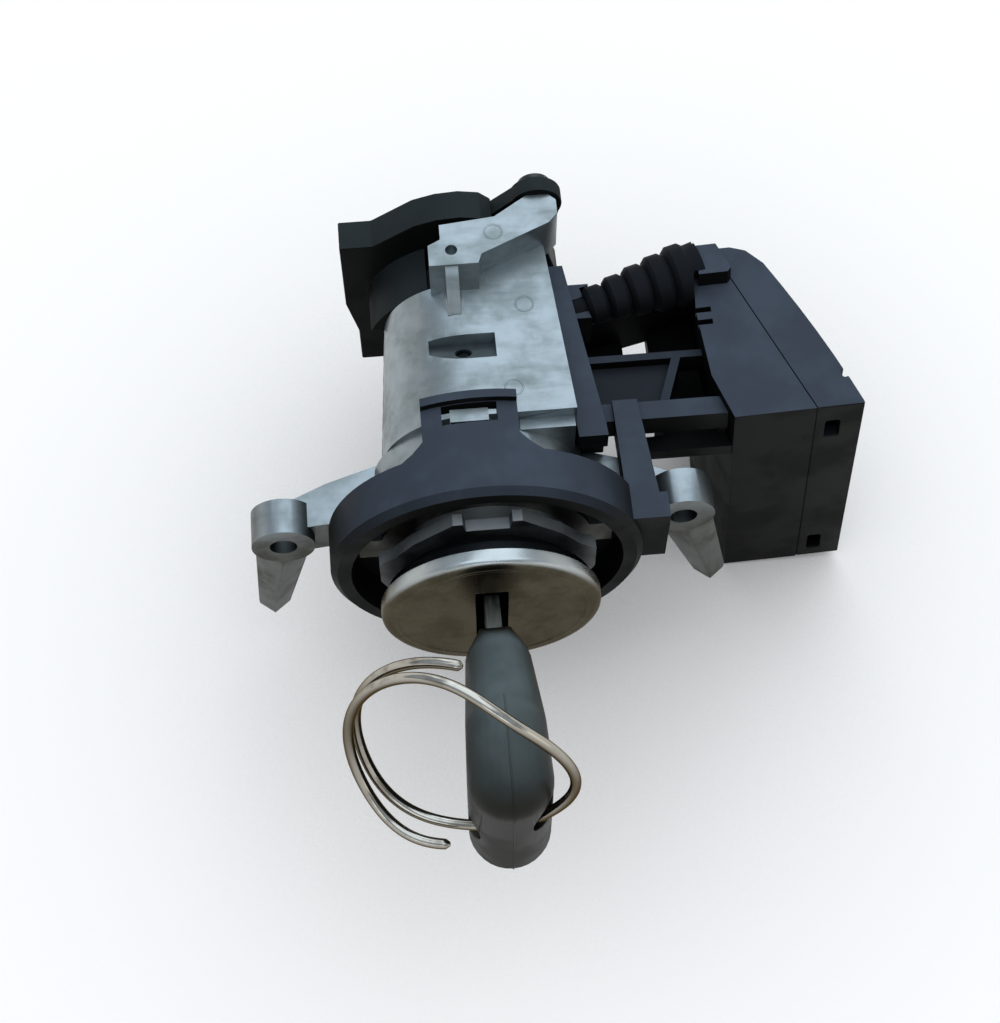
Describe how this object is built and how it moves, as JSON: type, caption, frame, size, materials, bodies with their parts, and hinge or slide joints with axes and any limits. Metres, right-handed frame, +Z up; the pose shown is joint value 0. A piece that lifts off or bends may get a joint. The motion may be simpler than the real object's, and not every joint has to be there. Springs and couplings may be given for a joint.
{
  "type": "ignition switch",
  "caption": "Car ignition switch: cast lock housing with bolt lugs, key in a bright face cap, antenna ring with side module, rear switch and sliding lock bolt.",
  "frame": {"origin": "midway between the centres of the lug holes, in the plane of the lugs' front faces, on the lock axis", "axes": "+X to the right seen from the key, +Y along the lock axis from the key towards the switch, +Z up"},
  "size_m": [0.0964, 0.1053, 0.0662],
  "materials": {
    "cast_zinc": "satin",
    "nickel": "polished",
    "case_metal": "satin",
    "dark_metal": "satin",
    "steel": "satin",
    "brass": "satin",
    "copper": "satin",
    "black_plastic": "matte",
    "ivory_plastic": "matte",
    "key_plastic": "satin",
    "ring_nickel": "polished",
    "boot_rubber": "matte",
    "board": "gloss",
    "chip": "matte"
  },
  "bodies": {
    "housing": {"lock_housing": "cast_zinc", "cylinder_case": "case_metal", "retaining_pin": "steel", "bolt_guide": "steel", "bolt_spring": "steel", "switch_housing": "black_plastic", "switch_cover": "black_plastic", "fixed_contacts": "copper", "switch_terminals": "brass", "switch_screws": "steel", "antenna_carrier": "black_plastic", "antenna_coil": "copper", "coil_retainer": "black_plastic", "module_cover": "black_plastic", "circuit_board": "board", "board_chips": "chip", "connector_pins": "brass", "lead_boot": "boot_rubber", "antenna_lead": "boot_rubber"},
    "rotor": {"cylinder_plug": "dark_metal", "plug_clip": "steel", "wafers": "brass", "face_cap": "nickel", "drive_shaft": "steel", "switch_rotor": "ivory_plastic", "contact_bridges": "copper"},
    "key": {"key_blade": "steel", "key_head": "key_plastic", "transponder_chip": "chip"},
    "ring": {"key_ring": "ring_nickel"},
    "bolt": {"lock_bolt": "steel"}
  },
  "joints": [
    {"name": "ignition_turn", "type": "hinge", "parent": "housing", "child": "rotor", "pos_m": [0, 0, 0], "axis": [0, 1, 0], "range_deg": [0, 105]},
    {"name": "key_slide", "type": "slide", "parent": "rotor", "child": "key", "axis": [0, -1, 0], "range_m": [0, 0.034]},
    {"name": "key_ring_swing", "type": "hinge", "parent": "key", "child": "ring", "pos_m": [0, -0.0447, 0.002], "axis": [0.7745, -0.1534, 0.6137], "range_deg": [-20, 75]},
    {"name": "bolt_lift", "type": "slide", "parent": "housing", "child": "bolt", "axis": [0, 0, 1], "range_m": [0, 0.004], "deforming": ["bolt_spring"]}
  ],
  "couplings": [
    {"joint": "bolt_lift", "follows": "ignition_turn", "m_per_rad": 0.0021827}
  ]
}
